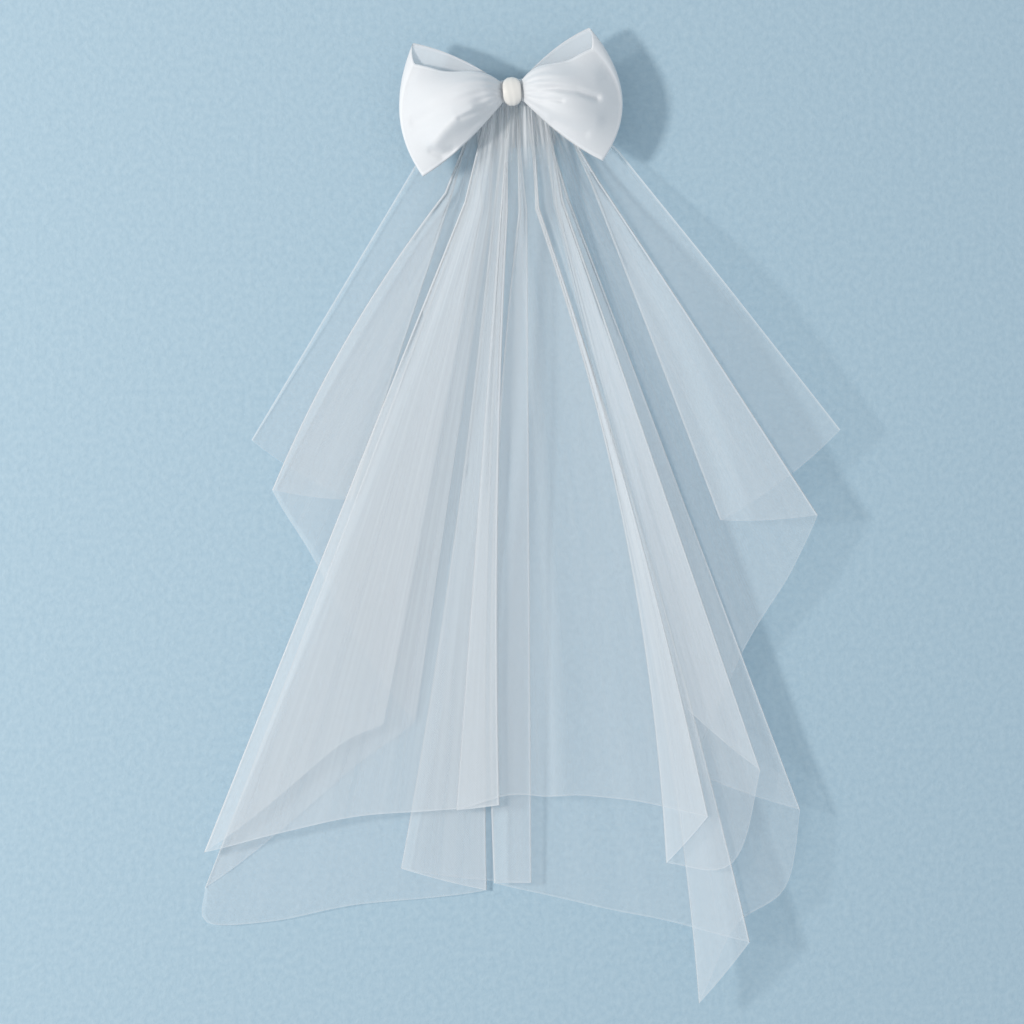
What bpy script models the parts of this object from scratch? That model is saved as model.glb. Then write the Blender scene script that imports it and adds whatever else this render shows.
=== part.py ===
"""A bridal veil hair clip lying flat with its face up: a clear comb, two tiers of gathered tulle and a bow.

Metres, +Z up. The veil spreads towards -Y from the seam that gathers it on the comb. All shapes are
worked out from that seam's middle, and the last step moves them so that the part stands on z = 0 with
the middle of its box over the origin.
"""

from math import atan2, ceil, cos, degrees, exp, floor, pi, radians, sin
from typing import NamedTuple

import bmesh
import bpy
from mathutils import Matrix, Vector

COLLECTION_NAME = "bridal_veil_hair_clip"

# The whole clip is turned a little against the veil
CLIP_TURN = radians(5)

# Comb
COMB_WIDTH = 0.070
COMB_HEIGHT = 0.053
TEETH_THICKNESS = 0.0022
SPINE_HEIGHT = 0.009
SPINE_THICKNESS = 0.0040
SPINE_INSET = 0.0003
SPINE_ROUNDING = 0.8  # share of the spine's rise over the teeth
TOOTH_PITCH = 0.0051
TOOTH_WIDTH = 0.0024
TOOTH_TIP_WIDTH = 0.0014
TIP_TAPER = 0.009

# Veil
WALL = 0.0010
LOWER_LENGTH = 0.711
UPPER_LENGTH = 0.630
GATHER_WIDTH = 0.070
HEADING = 0.006
NEAR_RADIUS = 0.110
COLUMN_WIDTH = 0.062
NEAR_STATION_LENGTH = 0.016
STATION_LENGTH = 0.045

# Heights of the layers: each layer lies one step over the one below it
STEP_AT_GATHER = 0.0015
STEP_FAR = 0.0023
FOLD_SHARE = 0.66
HEADING_STEP = 0.6  # share of STEP_AT_GATHER along the upper tier's top edge
COMB_CLEARANCE = 0.0006
LOFT = 0.006
RIGHT_LOFT = 0.034
RIGHT_LOFT_FROM = 6  # degrees from straight down
RIGHT_LOFT_TO = 36
RIGHT_LOFT_REACH = 0.28
TIP_LOFT = 0.026  # the long pleat's tip stands up from the surface
TIP_ANGLE = 14
TIP_SPREAD = 7
TIP_FROM = 0.50
TIP_TO = 0.80
SEAT_REACH = 0.176
WING_REACH = 0.42
FRONT_REACH = 0.76
WING_LAYERS = 3  # layers fewer under the front hems than under the wings
ROLL_HEIGHT = 0.006

# Bow
LEFT_LOOP_LENGTH = 0.082
RIGHT_LOOP_LENGTH = 0.072
LEFT_LOOP_ARCH = 0.015
RIGHT_LOOP_ARCH = 0.021
LOOP_TOP = 0.050
LOOP_BOTTOM = 0.066
EDGE_ARCH = 0.005
TOP_FOLD_DROP = 0.019
TOP_FOLD_FROM = 0.05  # shares of the loop's length between which the front layer's top edge sinks
TOP_FOLD_TO = 0.75
RIBBON_WALL = 0.0012
LOOP_FULLNESS = 0.024
FULLNESS_LEAN = 0.8  # below 1 it moves the fullest place towards the knot
EDGE_THINNING = 0.75  # share of the fullness that is gone at the ribbon's edges
LOOP_END_THICKNESS = 0.006
LOOP_DROOP = 0.001
CREASE_DEPTH = 0.005
CREASE_START = 0.2  # share of the loop's length over which a crease deepens from the knot
CREASE_FADE = 0.6  # share of the crease's own length after which it fades
PINCH_HALF_WIDTH = 0.0088
PINCH_GAP = 0.0022
PINCH_FADE = 0.3
LOOP_GAP = 0.0008
KNOT_CLEARANCE = 0.0010
BACK_FULLNESS = 0.15
END_ROUNDING = 0.03
FRONT_STEPS = 11
END_STEPS = 3
BACK_STEPS = 7
ACROSS_STEPS = 10
KNOT_WIDTH = 0.016
KNOT_HEIGHT = 0.025
KNOT_THICKNESS = 0.019
KNOT_WALL = 0.0012
KNOT_BARREL = 0.0018
KNOT_NARROWING = 0.3  # share of its width that the wrap loses at its top and bottom edge
KNOT_NARROWING_POWER = 4
KNOT_DROP = 0.0058
KNOT_SEAT = 0.0004
KNOT_SIDES = 24
KNOT_PROFILE_STEPS = 4
TOUCH_GAP = 0.0003

# Colours and roughness
CLEAR_PLASTIC = (0.93, 0.96, 0.98)
TULLE_WHITE = (0.90, 0.92, 0.94)
ORGANZA_WHITE = (0.92, 0.94, 0.95)
SATIN_IVORY = (0.93, 0.91, 0.87)
PLASTIC_ROUGHNESS = 0.12
TULLE_ROUGHNESS = 0.6
ORGANZA_ROUGHNESS = 0.5
SATIN_ROUGHNESS = 0.35


class Line(NamedTuple):
    """One line down the cloth, from the gather to the hem, in the order that the cloth has."""

    name: str
    folds: bool  # the cloth turns back here
    start: float  # place on the gather, from -1 at its left end to 1 at its right end
    near: float | None  # degrees from straight down at NEAR_RADIUS, to the right, or None for an even share
    hem: float  # the same at the hem
    reach: float  # distance of the hem from the gather, as a share of the tier's length
    bend: float  # how far the line swings to the right half way down, as a share of the same
    lift: float  # height over its layer, as a share of ROLL_HEIGHT


LOWER_TIER = (
    Line("left_edge", False, -1.00, -51.0, -36.5, 0.542, 0.000, 0),
    Line("left_wing_back", True, -0.80, -28.7, -21.2, 0.547, 0.000, 0),
    Line("left_wing_front", True, -0.68, -32.5, -30.8, 0.579, 0.014, 0),
    Line("left_rise", False, -0.57, None, -21.4, 0.645, 0.000, 0),
    Line("left_under", True, -0.46, -9.2, -8.7, 0.793, 0.000, 0),
    Line("left_under_hem", False, -0.38, None, -14.1, 0.883, 0.000, 0),
    Line("left_front", True, -0.30, -21.0, -21.0, 1.060, -0.002, 0),
    Line("left_corner", False, -0.28, None, -20.1, 1.099, 0.000, 0),
    Line("left_hem", False, -0.26, None, -16.2, 1.074, 0.000, 0),
    Line("left_hem_middle", False, -0.22, None, -10.5, 1.027, 0.000, 0),
    Line("first_pleat_under", True, -0.17, -2.8, -1.8, 0.993, 0.010, 0),
    Line("first_pleat", True, -0.08, -8.8, -8.1, 0.975, -0.009, 0),
    Line("second_pleat_under", True, 0.04, 7.0, 1.4, 0.983, 0.000, 0),
    Line("second_pleat", True, 0.11, 3.0, -1.3, 0.983, 0.017, 0),
    Line("centre_left", False, 0.17, 7.7, 2.8, 1.000, -0.004, 0),
    Line("centre", False, 0.22, 9.2, 6.6, 1.021, -0.008, 0),
    Line("centre_right", False, 0.28, 10.9, 10.9, 1.048, -0.012, 0),
    Line("long_pleat", True, 0.35, 12.4, 15.5, 1.092, -0.013, 0),
    Line("long_pleat_under", True, 0.43, 10.7, 11.5, 1.152, -0.023, 0),
    Line("right_hem_low", False, 0.47, None, 14.8, 1.070, 0.000, 0),
    Line("right_hem", False, 0.51, None, 18.8, 1.042, 0.000, 0),
    Line("right_front", True, 0.55, 27.0, 21.7, 0.959, 0.000, 0),
    Line("right_under", True, 0.63, 19.5, 14.4, 0.869, 0.000, 0),
    Line("right_rise", False, 0.68, None, 22.3, 0.751, 0.000, 0),
    Line("right_rise_hem", False, 0.72, None, 30.0, 0.688, 0.000, 0),
    Line("right_wing_front", True, 0.77, 43.0, 35.4, 0.648, 0.000, 0),
    Line("right_wing_back", True, 0.89, 39.0, 25.6, 0.593, 0.000, 0),
    Line("right_edge", False, 1.00, 59.0, 43.6, 0.585, 0.000, 0),
)

UPPER_TIER = (
    Line("left_edge", False, -0.95, -13.0, -11.4, 0.904, 0.000, 0),
    Line("left_back_hem", False, -0.78, None, -15.3, 0.961, 0.000, 0),
    Line("left_front", True, -0.50, -22.2, -21.9, 1.149, 0.000, 0),
    Line("left_hem", False, -0.42, None, -17.5, 1.091, 0.000, 0),
    Line("left_hem_middle", False, -0.33, None, -12.2, 1.040, 0.000, 0),
    Line("left_hem_right", False, -0.22, None, -6.6, 1.015, 0.000, 0),
    Line("pleat_under", True, -0.12, -1.8, -1.0, 1.000, 0.008, 0),
    Line("pleat", True, -0.02, -5.5, -4.4, 1.010, 0.000, 0),
    Line("gap", False, 0.08, None, -0.3, 0.986, 0.000, 0),
    Line("roll_left", False, 0.18, None, 2.7, 0.989, -0.004, 0),
    Line("roll_top", False, 0.22, None, 4.0, 0.989, -0.006, 1),
    Line("roll_right", False, 0.27, None, 6.0, 0.992, -0.008, 0),
    Line("centre", False, 0.36, None, 10.3, 1.011, -0.012, 0),
    Line("right_pleat", True, 0.46, 12.6, 15.0, 1.049, -0.013, 0),
    Line("right_pleat_under", True, 0.57, 10.5, 11.2, 1.100, -0.024, 0),
    Line("right_hem", False, 0.67, None, 15.8, 1.120, 0.000, 0),
    Line("right_front", True, 0.78, 24.0, 19.9, 1.010, 0.000, 0),
    Line("right_edge", False, 0.95, 20.0, 15.5, 0.894, 0.000, 0),
)


class Crease(NamedTuple):
    """One pinched fold in a loop's front, running out from the knot."""

    place: float  # across the ribbon from its bottom edge, as a share of its width
    width: float  # a share of the ribbon's width
    depth: float  # a share of CREASE_DEPTH
    length: float  # a share of the loop's length


LEFT_CREASES = (
    Crease(place=0.16, width=0.14, depth=0.7, length=0.55),
    Crease(place=0.47, width=0.18, depth=1.0, length=0.60),
    Crease(place=0.78, width=0.16, depth=0.6, length=0.45),
)
RIGHT_CREASES = (
    Crease(place=0.14, width=0.14, depth=0.7, length=0.80),
    Crease(place=0.42, width=0.16, depth=0.8, length=0.55),
    Crease(place=0.58, width=0.16, depth=1.0, length=0.90),
)


def smooth(value, low, high):
    """0 below low, 1 above high and an even ramp between them."""
    share = min(max((value - low) / (high - low), 0.0), 1.0)
    return share * share * (3 - 2 * share)


def blend(a, b, share):
    return a + (b - a) * share


def made_material(name, colour, roughness, transmission=0.0, sheen=0.0):
    """A Principled material for one kind of piece."""
    material = bpy.data.materials.new(name)
    material.use_nodes = True
    shader = material.node_tree.nodes["Principled BSDF"]
    shader.inputs["Base Color"].default_value = (*colour, 1)
    shader.inputs["Roughness"].default_value = roughness
    shader.inputs["Metallic"].default_value = 0.0
    shader.inputs["Transmission Weight"].default_value = transmission
    shader.inputs["Sheen Weight"].default_value = sheen
    return material


def add_object(name, mesh, material, collection):
    """Puts a mesh in the part's collection with its one material."""
    mesh.materials.clear()
    mesh.materials.append(material)
    piece = bpy.data.objects.new(name, mesh)
    collection.objects.link(piece)
    return piece


def grid_mesh(name, rows):
    """An open surface through rows of points, all of the same length."""
    shape = bmesh.new()
    verts = [[shape.verts.new(point) for point in row] for row in rows]
    for upper, lower in zip(verts, verts[1:]):
        for column in range(len(upper) - 1):
            shape.faces.new((upper[column], lower[column], lower[column + 1], upper[column + 1]))
    mesh = bpy.data.meshes.new(name)
    shape.to_mesh(mesh)
    shape.free()
    return mesh


def thicken(piece, wall):
    """Gives an open surface its wall, half of it on each side."""
    solidify = piece.modifiers.new("Wall", "SOLIDIFY")
    solidify.thickness = wall
    solidify.offset = 0
    solidify.use_even_offset = True
    solidify.use_quality_normals = True


def turned(x, y, z=0.0):
    """A point of the clip's own frame, turned as the clip is."""
    return Matrix.Rotation(CLIP_TURN, 4, "Z") @ Vector((x, y, z))


# Comb


def tooth_places():
    """The middles of the teeth along the spine."""
    count = floor((COMB_WIDTH - TOOTH_WIDTH) / TOOTH_PITCH) + 1
    return [(index - (count - 1) / 2) * TOOTH_PITCH for index in range(count)]


def comb_outline():
    """The comb seen from above: a straight top edge, round roots and teeth with tapered tips."""
    tip = -COMB_HEIGHT
    half = TOOTH_WIDTH / 2
    root_half = (TOOTH_PITCH - TOOTH_WIDTH) / 2
    points = [(-COMB_WIDTH / 2, 0.0), (-COMB_WIDTH / 2, -SPINE_HEIGHT)]
    for index, middle in enumerate(tooth_places()):
        if index:
            points.append((middle - half - root_half, -SPINE_HEIGHT))
        points += [
            (middle - half, -SPINE_HEIGHT - root_half),
            (middle - half, tip + TIP_TAPER),
            (middle - TOOTH_TIP_WIDTH / 2, tip),
            (middle + TOOTH_TIP_WIDTH / 2, tip),
            (middle + half, tip + TIP_TAPER),
            (middle + half, -SPINE_HEIGHT - root_half),
        ]
    points += [(COMB_WIDTH / 2, -SPINE_HEIGHT), (COMB_WIDTH / 2, 0.0)]
    return points


def comb_plate():
    """The flat plate of spine and teeth: its outline as one face, extruded to its thickness."""
    shape = bmesh.new()
    face = shape.faces.new([shape.verts.new((x, y, 0)) for x, y in comb_outline()])
    grown = bmesh.ops.extrude_face_region(shape, geom=[face], use_keep_orig=True)["geom"]
    raised = [item for item in grown if isinstance(item, bmesh.types.BMVert)]
    bmesh.ops.translate(shape, verts=raised, vec=(0, 0, TEETH_THICKNESS))
    bmesh.ops.recalc_face_normals(shape, faces=shape.faces)
    mesh = bpy.data.meshes.new("comb_plate")
    shape.to_mesh(mesh)
    shape.free()
    return mesh


def spine_bar(cutters):
    """The thicker bar along the comb's top edge, with its upper edges rounded."""
    shape = bmesh.new()
    bmesh.ops.create_cube(shape, size=1)
    low = TEETH_THICKNESS / 2
    size = (COMB_WIDTH - 2 * SPINE_INSET, SPINE_HEIGHT - 2 * SPINE_INSET, SPINE_THICKNESS - low)
    middle = (0, -SPINE_HEIGHT / 2, (SPINE_THICKNESS + low) / 2)
    bmesh.ops.scale(shape, verts=shape.verts, vec=size)
    bmesh.ops.translate(shape, verts=shape.verts, vec=middle)
    upper = [edge for edge in shape.edges if all(vert.co.z > middle[2] for vert in edge.verts)]
    rounding = min(SPINE_THICKNESS - TEETH_THICKNESS, size[1] / 2) * SPINE_ROUNDING
    bmesh.ops.bevel(shape, geom=upper, offset=rounding, segments=3, profile=0.5, affect="EDGES")
    mesh = bpy.data.meshes.new("spine_bar")
    shape.to_mesh(mesh)
    shape.free()
    bar = bpy.data.objects.new("spine_bar", mesh)
    cutters.objects.link(bar)
    bar.hide_render = True
    bar.display_type = "WIRE"
    return bar


def add_comb(collection, cutters):
    """The comb, face up, with its spine under the seam."""
    material = made_material("clear_plastic", CLEAR_PLASTIC, PLASTIC_ROUGHNESS, transmission=0.9)
    comb = add_object("comb", comb_plate(), material, collection)
    bar = spine_bar(cutters)
    union = comb.modifiers.new("Spine", "BOOLEAN")
    union.operation = "UNION"
    union.object = bar
    for piece in (comb, bar):
        piece.matrix_world = Matrix.Rotation(CLIP_TURN, 4, "Z")
    return comb


# Veil


def layer_step(radius):
    """The height from one layer to the next."""
    return blend(STEP_AT_GATHER, STEP_FAR, smooth(radius, 0, NEAR_RADIUS))


def ground(radius, angle):
    """The height of the lowest layer's middle over the surface, at a place seen from the seam."""
    over_comb = SPINE_THICKNESS + COMB_CLEARANCE + WALL / 2
    seat = over_comb * (1 - smooth(radius, COMB_HEIGHT, SEAT_REACH))
    off_comb = (radius - COMB_HEIGHT) / (WING_REACH - COMB_HEIGHT)
    swell = sin(pi * min(max(off_comb, 0.0), 1.0))
    rise = smooth(radius, COMB_HEIGHT, RIGHT_LOFT_REACH)
    right = RIGHT_LOFT * smooth(angle, RIGHT_LOFT_FROM, RIGHT_LOFT_TO) * rise
    tip = TIP_LOFT * exp(-(((angle - TIP_ANGLE) / TIP_SPREAD) ** 2)) * smooth(radius, TIP_FROM, TIP_TO)
    settled = WING_LAYERS * STEP_FAR * smooth(radius, WING_REACH, FRONT_REACH)
    return seat + LOFT * swell + right + tip - settled


def polar(radius, angle):
    """A point seen from above, at a distance and an angle from the middle of the gather."""
    return Vector((radius * sin(radians(angle)), -radius * cos(radians(angle)), 0))


def line_place(line, length, way):
    """Where a line of the cloth is seen from above. way is -1 at the heading, 0 at the gather, 1 at the
    knee at NEAR_RADIUS and 2 at the hem, and the line is straight between them but for its bend."""
    start = turned(line.start * GATHER_WIDTH / 2, 0)
    knee = polar(NEAR_RADIUS, line.near)
    hem = polar(line.reach * length, line.hem)
    if way < 0:
        return start + turned(0, HEADING * -way)
    if way < 1:
        return start.lerp(knee, way)
    share = way - 1
    side = (hem - knee).cross(Vector((0, 0, -1))).normalized()
    return knee.lerp(hem, share) - side * line.bend * length * 4 * share * (1 - share)


def ways(length):
    """The places of the cloth's cross-sections along its lines."""
    near_count = ceil(NEAR_RADIUS / NEAR_STATION_LENGTH)
    far_count = ceil((length - NEAR_RADIUS) / STATION_LENGTH)
    near = [station / near_count for station in range(near_count)]
    return [-1.0] + near + [1 + station / far_count for station in range(far_count + 1)]


def between(a, b, share):
    """A line part way between two neighbours on the cloth."""
    numbers = [blend(getattr(a, field), getattr(b, field), share) for field in Line._fields[2:]]
    return Line(a.name, False, *numbers)


def with_knees(table):
    """The table with each open angle at the knee shared out evenly between the folds or edges beside it."""
    known = [index for index, line in enumerate(table) if line.near is not None]
    lines = []
    for index, line in enumerate(table):
        if line.near is None:
            before = table[max(k for k in known if k < index)]
            after = table[min(k for k in known if k > index)]
            share = (line.start - before.start) / (after.start - before.start)
            line = line._replace(near=blend(before.near, after.near, share))
        lines.append(line)
    return lines


def hem_gap(a, b, length):
    return (line_place(a, length, 2) - line_place(b, length, 2)).length


def counted_layers(table):
    """The layer of each stretch of cloth: it climbs by one at each fold, from both edges to the middle."""
    folds = [index for index, line in enumerate(table) if line.folds]
    gaps = [(b - a, a, b) for a, b in zip(folds, folds[1:])]
    middle_start, middle_end = max(gaps)[1:]
    left = sum(index <= middle_start for index in folds)
    right = len(folds) - left
    return middle_start, middle_end, left, right


def layered_columns(table, length, first_layer):
    """The cloth's columns, each a line with its layer. A fold gives two, one for each of its layers."""
    middle_start, middle_end, left, right = counted_layers(table)
    columns = []
    layer = first_layer
    for index, line in enumerate(table):
        turn = 1 if index <= middle_start else -1
        if index == middle_end:
            layer = first_layer + right
        if line.folds:
            columns.append((line, layer + turn * (1 - FOLD_SHARE) / 2))
            columns.append((line, layer + turn * (1 + FOLD_SHARE) / 2))
            layer += turn
        elif index in (0, len(table) - 1):
            columns.append((line, layer - (1 - FOLD_SHARE) / 2))
        else:
            columns.append((line, None))
        if index + 1 < len(table):
            following = table[index + 1]
            pieces = max(1, ceil(hem_gap(line, following, length) / COLUMN_WIDTH))
            columns += [(between(line, following, part / pieces), None) for part in range(1, pieces)]
    return filled_layers(columns)


def filled_layers(columns):
    """Fills in the layers left open, evenly between their neighbours along the gather."""
    known = [index for index, (_, layer) in enumerate(columns) if layer is not None]
    filled = []
    for index, (line, layer) in enumerate(columns):
        if layer is None:
            before = max(k for k in known if k < index)
            after = min(k for k in known if k > index)
            span = columns[after][0].start - columns[before][0].start
            share = (line.start - columns[before][0].start) / span
            layer = blend(columns[before][1], columns[after][1], share)
        filled.append((line, layer))
    return filled


def heading_height(columns, layer):
    """The height of the upper tier's top edge, which is sewn down on the lower tier's highest fold."""
    seat_layer = most_layers(LOWER_TIER) - (1 - FOLD_SHARE) / 2
    seat = ground(0, 0) + seat_layer * STEP_AT_GATHER + WALL + TOUCH_GAP
    highest = max(other for _, other in columns)
    return seat + (layer - highest) * STEP_AT_GATHER * HEADING_STEP


def veil_rows(table, length, first_layer):
    """Rows of points from the gather to the hem, one point for each column of the cloth."""
    columns = layered_columns(with_knees(table), length, first_layer)
    rows = []
    for way in ways(length):
        row = []
        for line, layer in columns:
            place = line_place(line, length, way)
            radius = place.length
            angle = degrees(atan2(place.x, -place.y))
            place.z = ground(radius, angle) + layer * layer_step(radius)
            place.z += line.lift * ROLL_HEIGHT * smooth(radius, NEAR_RADIUS, length)
            if way < 0 and first_layer > 0:
                place.z = heading_height(columns, layer)
            row.append(place)
        rows.append(row)
    return rows


def add_veil_tier(name, table, length, first_layer, material, collection):
    """One tier of the veil: a folded cloth with its wall."""
    tier = add_object(name, grid_mesh(name, veil_rows(table, length, first_layer)), material, collection)
    thicken(tier, WALL)
    return tier


def most_layers(table):
    return max(counted_layers(table)[2:])


# Bow


def bow_height():
    """The height of the knot's middle, with the knot just over the gathered tulle."""
    layers = most_layers(LOWER_TIER) + 1 + most_layers(UPPER_TIER)
    top_of_veil = ground(0, 0) + layers * STEP_AT_GATHER + WALL / 2
    return top_of_veil + KNOT_SEAT + KNOT_THICKNESS / 2


def crease_depth(creases, across, along):
    """How far the pinched folds sink the front of a loop."""
    depth = 0.0
    for crease in creases:
        fade = 1 - smooth(along, crease.length * CREASE_FADE, crease.length)
        section = max(0.0, 1 - ((across - crease.place) / crease.width) ** 2)
        depth += CREASE_DEPTH * crease.depth * smooth(along, 0.0, CREASE_START) * fade * section
    return depth


def loop_edges(along):
    """The lower and the upper edge of the ribbon, at a share of the way from the knot to the loop's end."""
    arch = EDGE_ARCH * 4 * along * (1 - along)
    lower = -blend(PINCH_HALF_WIDTH, LOOP_BOTTOM, along) - arch
    upper = blend(PINCH_HALF_WIDTH, LOOP_TOP, along) + arch
    return lower, upper


def loop_point(length, arch, out, across, front, creases):
    """A point of a loop. out is -1 in the knot's middle, 0 at the knot's edge and 1 at the loop's end.
    front is 1 on its front layer, 0 on its back layer and between them at its end."""
    along = max(out, 0.0)
    lower, upper = loop_edges(along)
    folded = TOP_FOLD_DROP * front * smooth(along, TOP_FOLD_FROM, TOP_FOLD_TO)
    y = blend(lower, upper - folded, across)
    bow_of_edge = 1 - (2 * across - 1) ** 2
    knot_edge = KNOT_WIDTH / 2 + KNOT_CLEARANCE
    x = blend(knot_edge, length + arch * bow_of_edge, along)
    if out < 0:
        x = blend(knot_edge, LOOP_GAP, -out)
    half = blend(PINCH_GAP, LOOP_END_THICKNESS, along) / 2
    lens = PINCH_GAP * bow_of_edge * (1 - smooth(along, 0, PINCH_FADE))
    full = LOOP_FULLNESS * sin(pi * along**FULLNESS_LEAN) * (1 - EDGE_THINNING * (2 * across - 1) ** 2)
    up = half + lens + full - crease_depth(creases, across, along)
    down = -half - lens - full * BACK_FULLNESS
    return Vector((x, y, blend(down, up, front) - LOOP_DROOP * along))


def loop_rows(length, arch, creases):
    """Rows round the loop: out along the front, over the end and back along the back."""
    places = [(-1.0, 1.0)] + [(step / FRONT_STEPS, 1.0) for step in range(FRONT_STEPS + 1)]
    for step in range(1, END_STEPS):
        places.append((1 + END_ROUNDING * sin(pi * step / END_STEPS), 1 - step / END_STEPS))
    places += [(1 - step / BACK_STEPS, 0.0) for step in range(BACK_STEPS + 1)] + [(-1.0, 0.0)]
    rows = []
    for out, front in places:
        row = []
        for step in range(ACROSS_STEPS + 1):
            row.append(loop_point(length, arch, out, step / ACROSS_STEPS, front, creases))
        rows.append(row)
    return rows


def add_loop(name, side, length, arch, creases, material, collection):
    """One loop of the bow. side is 1 for the right loop and -1 for the left one."""
    rows = loop_rows(length, arch, creases)
    for row in rows:
        for point in row:
            point.x *= side
    loop = add_object(name, grid_mesh(name, rows), material, collection)
    thicken(loop, RIBBON_WALL)
    return loop


def knot_profile():
    """Half the section of the wrap along the ribbon: a barrel outside and an even wall."""
    outer = []
    inner = []
    for step in range(KNOT_PROFILE_STEPS + 1):
        share = 2 * step / KNOT_PROFILE_STEPS - 1
        radius = KNOT_HEIGHT / 2 - KNOT_BARREL * share * share
        outer.append((share * KNOT_WIDTH / 2, radius))
        inner.append((share * KNOT_WIDTH / 2, radius - KNOT_WALL))
    return outer + inner[::-1]


def add_knot(material, collection):
    """The wrap round the middle of the bow, a ring turned about the ribbon and pressed flat."""
    flat = KNOT_THICKNESS / KNOT_HEIGHT
    shape = bmesh.new()
    profile = [shape.verts.new((x, radius, 0)) for x, radius in knot_profile()]
    face = shape.faces.new(profile)
    bmesh.ops.spin(
        shape, geom=[face], cent=(0, 0, 0), axis=(1, 0, 0), angle=2 * pi, steps=KNOT_SIDES, use_merge=True
    )
    loose = [face for face in shape.faces if len(face.verts) > 4]
    bmesh.ops.delete(shape, geom=loose, context="FACES_ONLY")
    bmesh.ops.remove_doubles(shape, verts=shape.verts, dist=0.00001)
    for vert in shape.verts:
        edge = (abs(vert.co.y) / (KNOT_HEIGHT / 2)) ** KNOT_NARROWING_POWER
        vert.co.x *= 1 - KNOT_NARROWING * edge
    bmesh.ops.scale(shape, verts=shape.verts, vec=(1, 1, flat))
    bmesh.ops.recalc_face_normals(shape, faces=shape.faces)
    mesh = bpy.data.meshes.new("bow_knot")
    shape.to_mesh(mesh)
    shape.free()
    return add_object("bow_knot", mesh, material, collection)


def add_bow(collection):
    """Two loops and the knot, turned as the clip is and set on the gathered tulle."""
    organza = made_material("bow_organza", ORGANZA_WHITE, ORGANZA_ROUGHNESS, sheen=0.3)
    satin = made_material("ivory_satin", SATIN_IVORY, SATIN_ROUGHNESS, sheen=0.2)
    pieces = [
        add_loop("bow_loop_left", -1, LEFT_LOOP_LENGTH, LEFT_LOOP_ARCH, LEFT_CREASES, organza, collection),
        add_loop("bow_loop_right", 1, RIGHT_LOOP_LENGTH, RIGHT_LOOP_ARCH, RIGHT_CREASES, organza, collection),
        add_knot(satin, collection),
    ]
    place = Matrix.Translation((0, -KNOT_DROP, bow_height())) @ Matrix.Rotation(CLIP_TURN, 4, "Z")
    for piece in pieces:
        piece.matrix_world = place
    return pieces


def stand_on_origin(pieces, guides):
    """Moves the part so that it stands on z = 0 with the middle of its box over the origin."""
    bpy.context.view_layer.update()
    graph = bpy.context.evaluated_depsgraph_get()
    points = []
    for piece in pieces:
        evaluated = piece.evaluated_get(graph)
        points += [piece.matrix_world @ vert.co for vert in evaluated.data.vertices]
    low = [min(point[axis] for point in points) for axis in range(3)]
    high = [max(point[axis] for point in points) for axis in range(3)]
    shift = Vector((-(low[0] + high[0]) / 2, -(low[1] + high[1]) / 2, -low[2]))
    for piece in (*pieces, *guides):
        piece.matrix_world = Matrix.Translation(shift) @ piece.matrix_world


def main():
    for old in list(bpy.data.objects):
        bpy.data.objects.remove(old)
    collection = bpy.data.collections.new(COLLECTION_NAME)
    cutters = bpy.data.collections.new("cutters")
    for group in (collection, cutters):
        bpy.context.scene.collection.children.link(group)
    tulle = made_material("white_tulle", TULLE_WHITE, TULLE_ROUGHNESS, sheen=0.2)
    first_upper = most_layers(LOWER_TIER) + 1
    pieces = [
        add_comb(collection, cutters),
        add_veil_tier("veil_lower_tier", LOWER_TIER, LOWER_LENGTH, 0, tulle, collection),
        add_veil_tier("veil_upper_tier", UPPER_TIER, UPPER_LENGTH, first_upper, tulle, collection),
        *add_bow(collection),
    ]
    stand_on_origin(pieces, list(cutters.objects))


main()
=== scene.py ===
"""Bridal veil hair clip: the looks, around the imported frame.

Metres, +Z up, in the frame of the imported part. The veil's tables and paths follow the part's source, and
only the long pleat's left line swings a little further here. The cloth is one fine sheet for each tier,
with rounded folds.
"""

from math import atan2, ceil, cos, degrees, exp, pi, radians, sin, sqrt
from typing import NamedTuple

import bmesh
import bpy
from mathutils import Matrix, Vector, noise


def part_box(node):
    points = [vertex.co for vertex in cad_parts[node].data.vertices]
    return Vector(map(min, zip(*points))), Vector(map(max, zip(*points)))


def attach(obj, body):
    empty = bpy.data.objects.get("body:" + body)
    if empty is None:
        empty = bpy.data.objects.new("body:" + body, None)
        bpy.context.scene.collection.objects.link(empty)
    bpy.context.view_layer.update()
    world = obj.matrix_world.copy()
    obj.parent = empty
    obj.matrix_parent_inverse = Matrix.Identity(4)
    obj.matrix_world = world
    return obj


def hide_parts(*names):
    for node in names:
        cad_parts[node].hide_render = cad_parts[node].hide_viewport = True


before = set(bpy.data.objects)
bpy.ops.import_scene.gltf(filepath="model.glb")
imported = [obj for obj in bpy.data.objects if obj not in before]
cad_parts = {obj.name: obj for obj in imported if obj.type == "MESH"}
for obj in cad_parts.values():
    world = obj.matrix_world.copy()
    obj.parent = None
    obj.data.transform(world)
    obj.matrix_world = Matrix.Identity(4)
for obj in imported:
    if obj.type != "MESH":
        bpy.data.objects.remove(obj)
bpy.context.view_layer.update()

CLIP_TURN = radians(5)

# Comb
COMB_WIDTH = 0.070
COMB_HEIGHT = 0.053
SPINE_THICKNESS = 0.0040

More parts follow.
